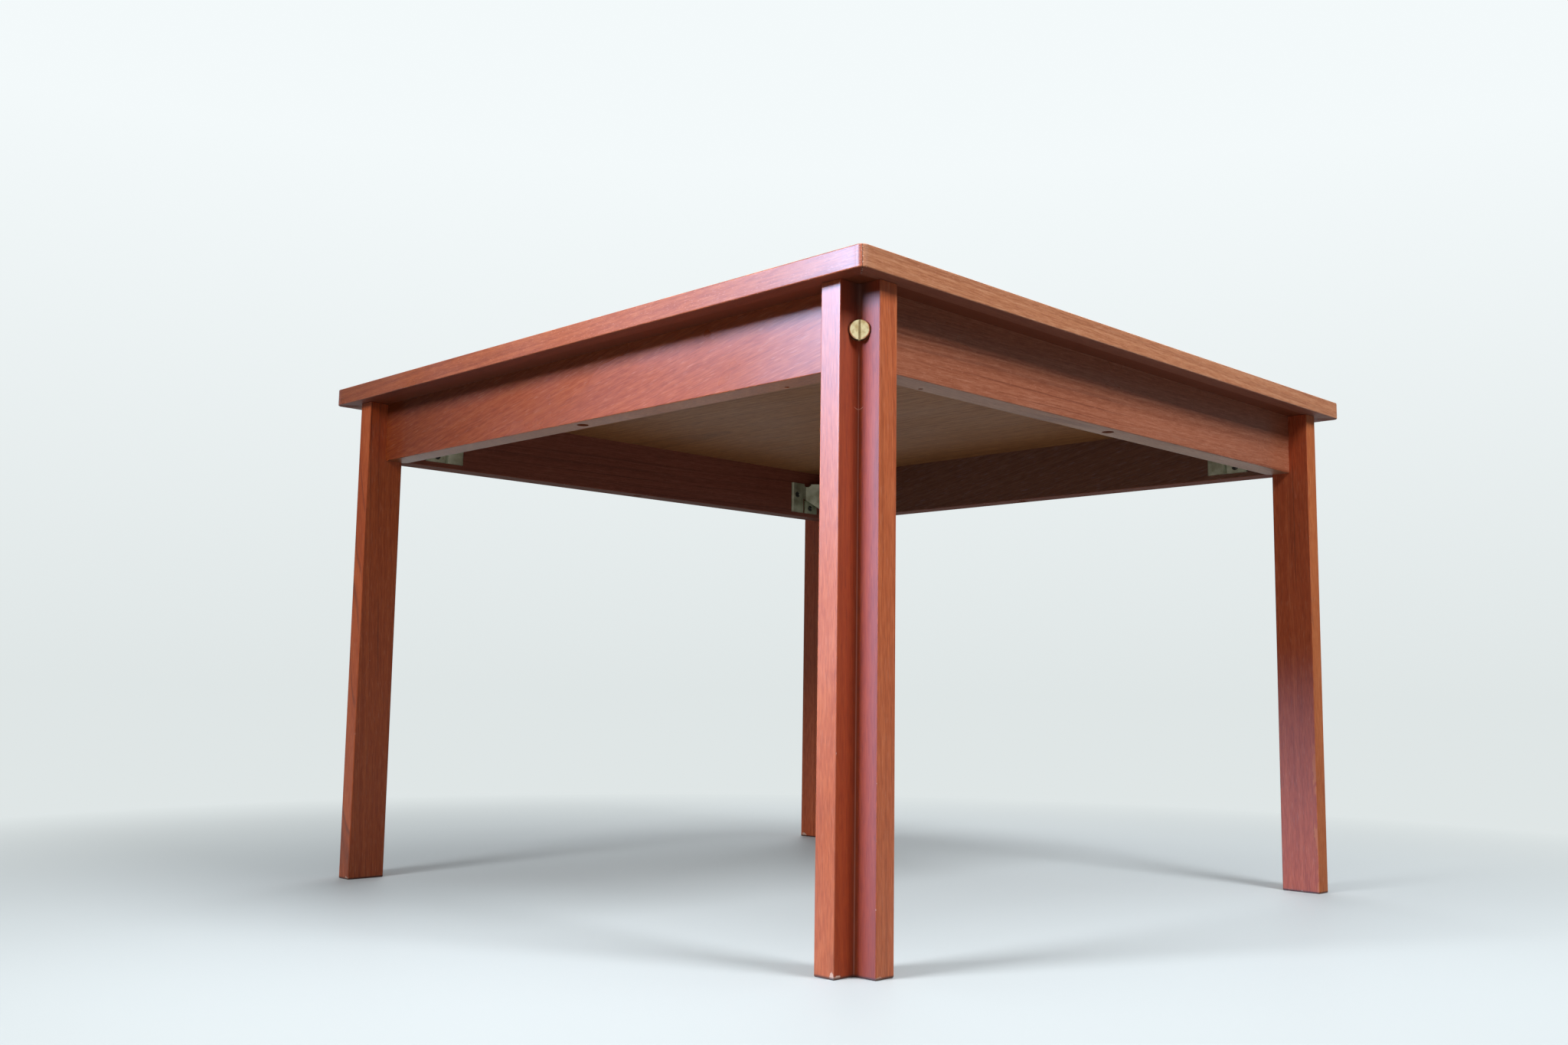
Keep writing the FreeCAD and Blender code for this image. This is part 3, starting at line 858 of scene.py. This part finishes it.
# The inside tints darken each apron's inner face as painted shade.
apron_looks = {
    "front": {"level": 0.42, "painted_inside_shade": (0.60, 0.60, 0.80), **painted_underside_reflection},
    "rear": {"level": 0.30, "painted_inside_shade": (0.52, 0.96, 1.90), **painted_underside_shade},
    "right": {"level": 0.32, "painted_inside_shade": (0.60, 0.60, 0.80), **painted_underside_reflection},
    "left": {"level": 0.30, "painted_inside_shade": (0.66, 0.53, 0.54), **painted_underside_shade},
}
leg_looks = {
    "front_left": {"heart": (-0.30, 0.02), "tint": (1.02, 0.86, 0.72), "lines": 0.75, "gloss": 0.32},
    "front_right": {
        "heart": (0.32, 0.05),
        "tint": (1.17, 1.20, 1.26),
        "lines": 0.35,
        "gloss": 0.30,
        "scratched": True,
    },
    "rear_right": {
        "heart": (0.05, 0.33),
        "tint": (1.08, 0.86, 0.88),
        "lines": 0.80,
        "gloss": 0.47,
        "level": 0.32,
        "rubbed_to": 0.12,
    },
    # The rear-left leg's tint lightens it as painted light.
    "rear_left": {"heart": (0.36, 0.05), "tint": (1.25, 1.08, 1.20), "lines": 0.45, "gloss": 0.40},
}
leg_seed_step = 2.3


def front_and_rear():
    """The finishes of the lippings and aprons that run along X."""
    found = {}
    for side, sign, seed in (("front", -1, 0.0), ("rear", 1, 3.1)):
        darker = painted_far_shade_span if side == "front" else None
        found["lipping_" + side] = lipping(
            "teak_lipping_" + side, along="x", heart=(0.33 * sign, 0.30), tilt=(0.02, -0.03),
            colours=lipping_teak, seed=seed, darker=darker)
        found["apron_" + side] = apron(
            "teak_apron_" + side, along="x", heart=(0.31 * sign, 0.32), tilt=(0.03, -0.20),
            colours=apron_teak, seed=seed + 1.3, lines=0.0, flecks=bright_flecks, darker=darker,
            **apron_looks[side])
    return found


def right_and_left():
    """The finishes of the lippings and aprons that run along Y."""
    found = {}
    for side, sign, seed in (("right", 1, 5.2), ("left", -1, 7.4)):
        found["lipping_" + side] = lipping(
            "teak_lipping_" + side, along="y", heart=(0.33 * sign, 0.30), tilt=(0.02, 0.01),
            colours=pale_lipping_teak, seed=seed)
        found["apron_" + side] = apron(
            "teak_apron_" + side, along="y", heart=(0.31 * sign, 0.32), tilt=(0.02, -0.014),
            colours=brown_teak, seed=seed + 1.7, lines=0.60, flecks=small_flecks, **apron_looks[side])
    return found


def wooden():
    """The finishes of the wooden nodes."""
    found = {**front_and_rear(), **right_and_left()}
    for number, (corner, looks) in enumerate(leg_looks.items()):
        found["leg_" + corner] = leg("teak_leg_" + corner, leg_seed_step * number, **looks)
    found["top_veneer"] = top_veneer("teak_top_veneer")
    found["underside_veneer"] = underside_veneer("underside_veneer")
    found["top_core"] = core_board("core_board")
    return found


def metal():
    """The finishes of the metal nodes, by the start of their names."""
    plate = plated("zinc_plate", zinc_light, zinc_middle, zinc_dark, rate=60.0, gloss=0.34)
    steel = plated("screw_steel", steel_light, steel_dark, steel_dark, rate=400.0, gloss=0.36)
    return {
        "leg_screw": brass("brass"),
        "corner_bracket": plate,
        "bracket_nut": plate,
        "bracket_screw": steel,
        "top_screw": steel,
    }


def dress():
    """Gives each node its finish."""
    found = wooden()
    for start, finish in metal().items():
        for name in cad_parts:
            if name.startswith(start):
                found[name] = finish
    for name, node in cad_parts.items():
        node.data.materials.clear()
        node.data.materials.append(found[name])


def floor_material():
    """A pale floor, seen only from above, that fades into the pale world around the table."""
    material, graph = new_material("floor")
    shader = graph.add("BsdfPrincipled")
    diffuse_ray = graph.add("LightPath").outputs["Is Diffuse Ray"]
    graph.feed(shader.inputs["Base Color"], graph.blend(diffuse_ray, floor_colour, floor_bounce))
    shader.inputs["Roughness"].default_value = floor_roughness
    shader.inputs["Specular IOR Level"].default_value = floor_specular
    far = graph.add("Emission")
    far.inputs["Color"].default_value = (*horizon_colour, 1.0)
    seen = graph.math("SUBTRACT", 1.0, diffuse_ray)
    x, y, _ = graph.place()
    away = graph.spread(graph.length(graph.vector(x, y, 0.0)), *floor_fade)
    fade = graph.add("MixShader")
    graph.feed(fade.inputs[0], graph.math("MULTIPLY", away, seen))
    graph.feed(fade.inputs[1], shader.outputs[0])
    graph.feed(fade.inputs[2], far.outputs[0])
    mix = graph.add("MixShader")
    graph.feed(mix.inputs[0], graph.add("NewGeometry").outputs["Backfacing"])
    graph.feed(mix.inputs[1], fade.outputs[0])
    graph.feed(mix.inputs[2], graph.add("BsdfTransparent").outputs[0])
    graph.feed(graph.add("OutputMaterial").inputs[0], mix.outputs[0])
    return material


def stage():
    """The floor."""
    bpy.ops.mesh.primitive_circle_add(vertices=floor_vertices, radius=floor_radius, fill_type="NGON")
    floor = bpy.context.object
    floor.name = "floor"
    floor.data.materials.append(floor_material())


def surroundings():
    """A pale world, with two dimmer sides of the room that only gloss shows, and a low, even light."""
    world = bpy.data.worlds.new("world")
    bpy.context.scene.world = world
    graph = Graph(world)
    path = graph.add("LightPath")
    seen = graph.math("MAXIMUM", path.outputs["Is Camera Ray"], path.outputs["Is Transmission Ray"])
    way = graph.add("TexCoord").outputs["Generated"]
    parts = graph.add("SeparateXYZ")
    graph.feed(parts.inputs[0], way)
    wall = graph.blend(graph.spread(parts.outputs[2], 0.0, zenith_height), horizon_colour, zenith_colour)
    toward = graph.add("VectorMath", operation="DOT_PRODUCT")
    graph.feed(toward.inputs[0], way)
    toward.inputs[1].default_value = dim_direction
    aside = graph.math("ABSOLUTE", toward.outputs["Value"])
    room = graph.blend(graph.spread(aside, *dim_range), wall, room_colour)
    dim = tuple(world_strength * part for part in world_light)
    colour = graph.blend(path.outputs["Is Glossy Ray"], dim, room)
    background = graph.add("Background")
    graph.feed(background.inputs[0], graph.blend(seen, colour, wall))
    graph.feed(graph.add("OutputWorld").inputs[0], background.outputs[0])


def sheen_receivers():
    """The collection of polished edges and legs that the sheen falls on."""
    receivers = bpy.data.collections.new("sheen_receivers")
    for name in sheen_on:
        receivers.objects.link(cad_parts[name])
    return receivers


def hang(name, place, target, size, radiance, spread=180.0, colour=white):
    """A lamp at a place, turned to a target, that the camera doesn't see."""
    lamp = bpy.data.lights.new(name, "AREA")
    lamp.shape = "RECTANGLE"
    lamp.size, lamp.size_y = size
    lamp.spread = math.radians(spread)
    lamp.color = colour
    lamp.energy = radiance * math.pi * size[0] * size[1]
    holder = bpy.data.objects.new(name, lamp)
    bpy.context.scene.collection.objects.link(holder)
    holder.location = place
    holder.rotation_euler = (Vector(target) - Vector(place)).to_track_quat("-Z", "Y").to_euler()
    holder.visible_camera = False
    return holder


def light():
    """The lamps: one adds sheen alone and only to some nodes, and two add no gloss."""
    for name, settings in lamps.items():
        holder = hang(name, **settings)
        holder.visible_diffuse = name not in sheen_only
        holder.visible_glossy = name not in unmirrored
        if name in sheen_only:
            holder.light_linking.receiver_collection = sheen_receivers()


def aim_camera():
    """The camera of the photograph."""
    yaw, pitch, roll = (math.radians(angle) for angle in (camera_yaw, camera_pitch, camera_roll))
    look = Vector((-math.sin(yaw) * math.cos(pitch), math.cos(yaw) * math.cos(pitch), math.sin(pitch)))
    right = Vector((math.cos(yaw), math.sin(yaw), 0.0))
    up = right.cross(look)
    side = math.cos(roll) * right + math.sin(roll) * up
    top = math.cos(roll) * up - math.sin(roll) * right
    camera = bpy.data.cameras.new("camera")
    camera.sensor_width = sensor_width_mm
    camera.lens = focal_pixels / frame_width_pixels * sensor_width_mm
    camera.clip_start, camera.clip_end = camera_clip
    holder = bpy.data.objects.new("camera", camera)
    bpy.context.scene.collection.objects.link(holder)
    turn = Matrix((side, top, -look)).transposed().to_4x4()
    holder.matrix_world = Matrix.Translation(camera_place) @ turn
    bpy.context.scene.camera = holder


aim_camera()
stage()
surroundings()
light()
dress()
bpy.context.scene.view_settings.view_transform = "Standard"
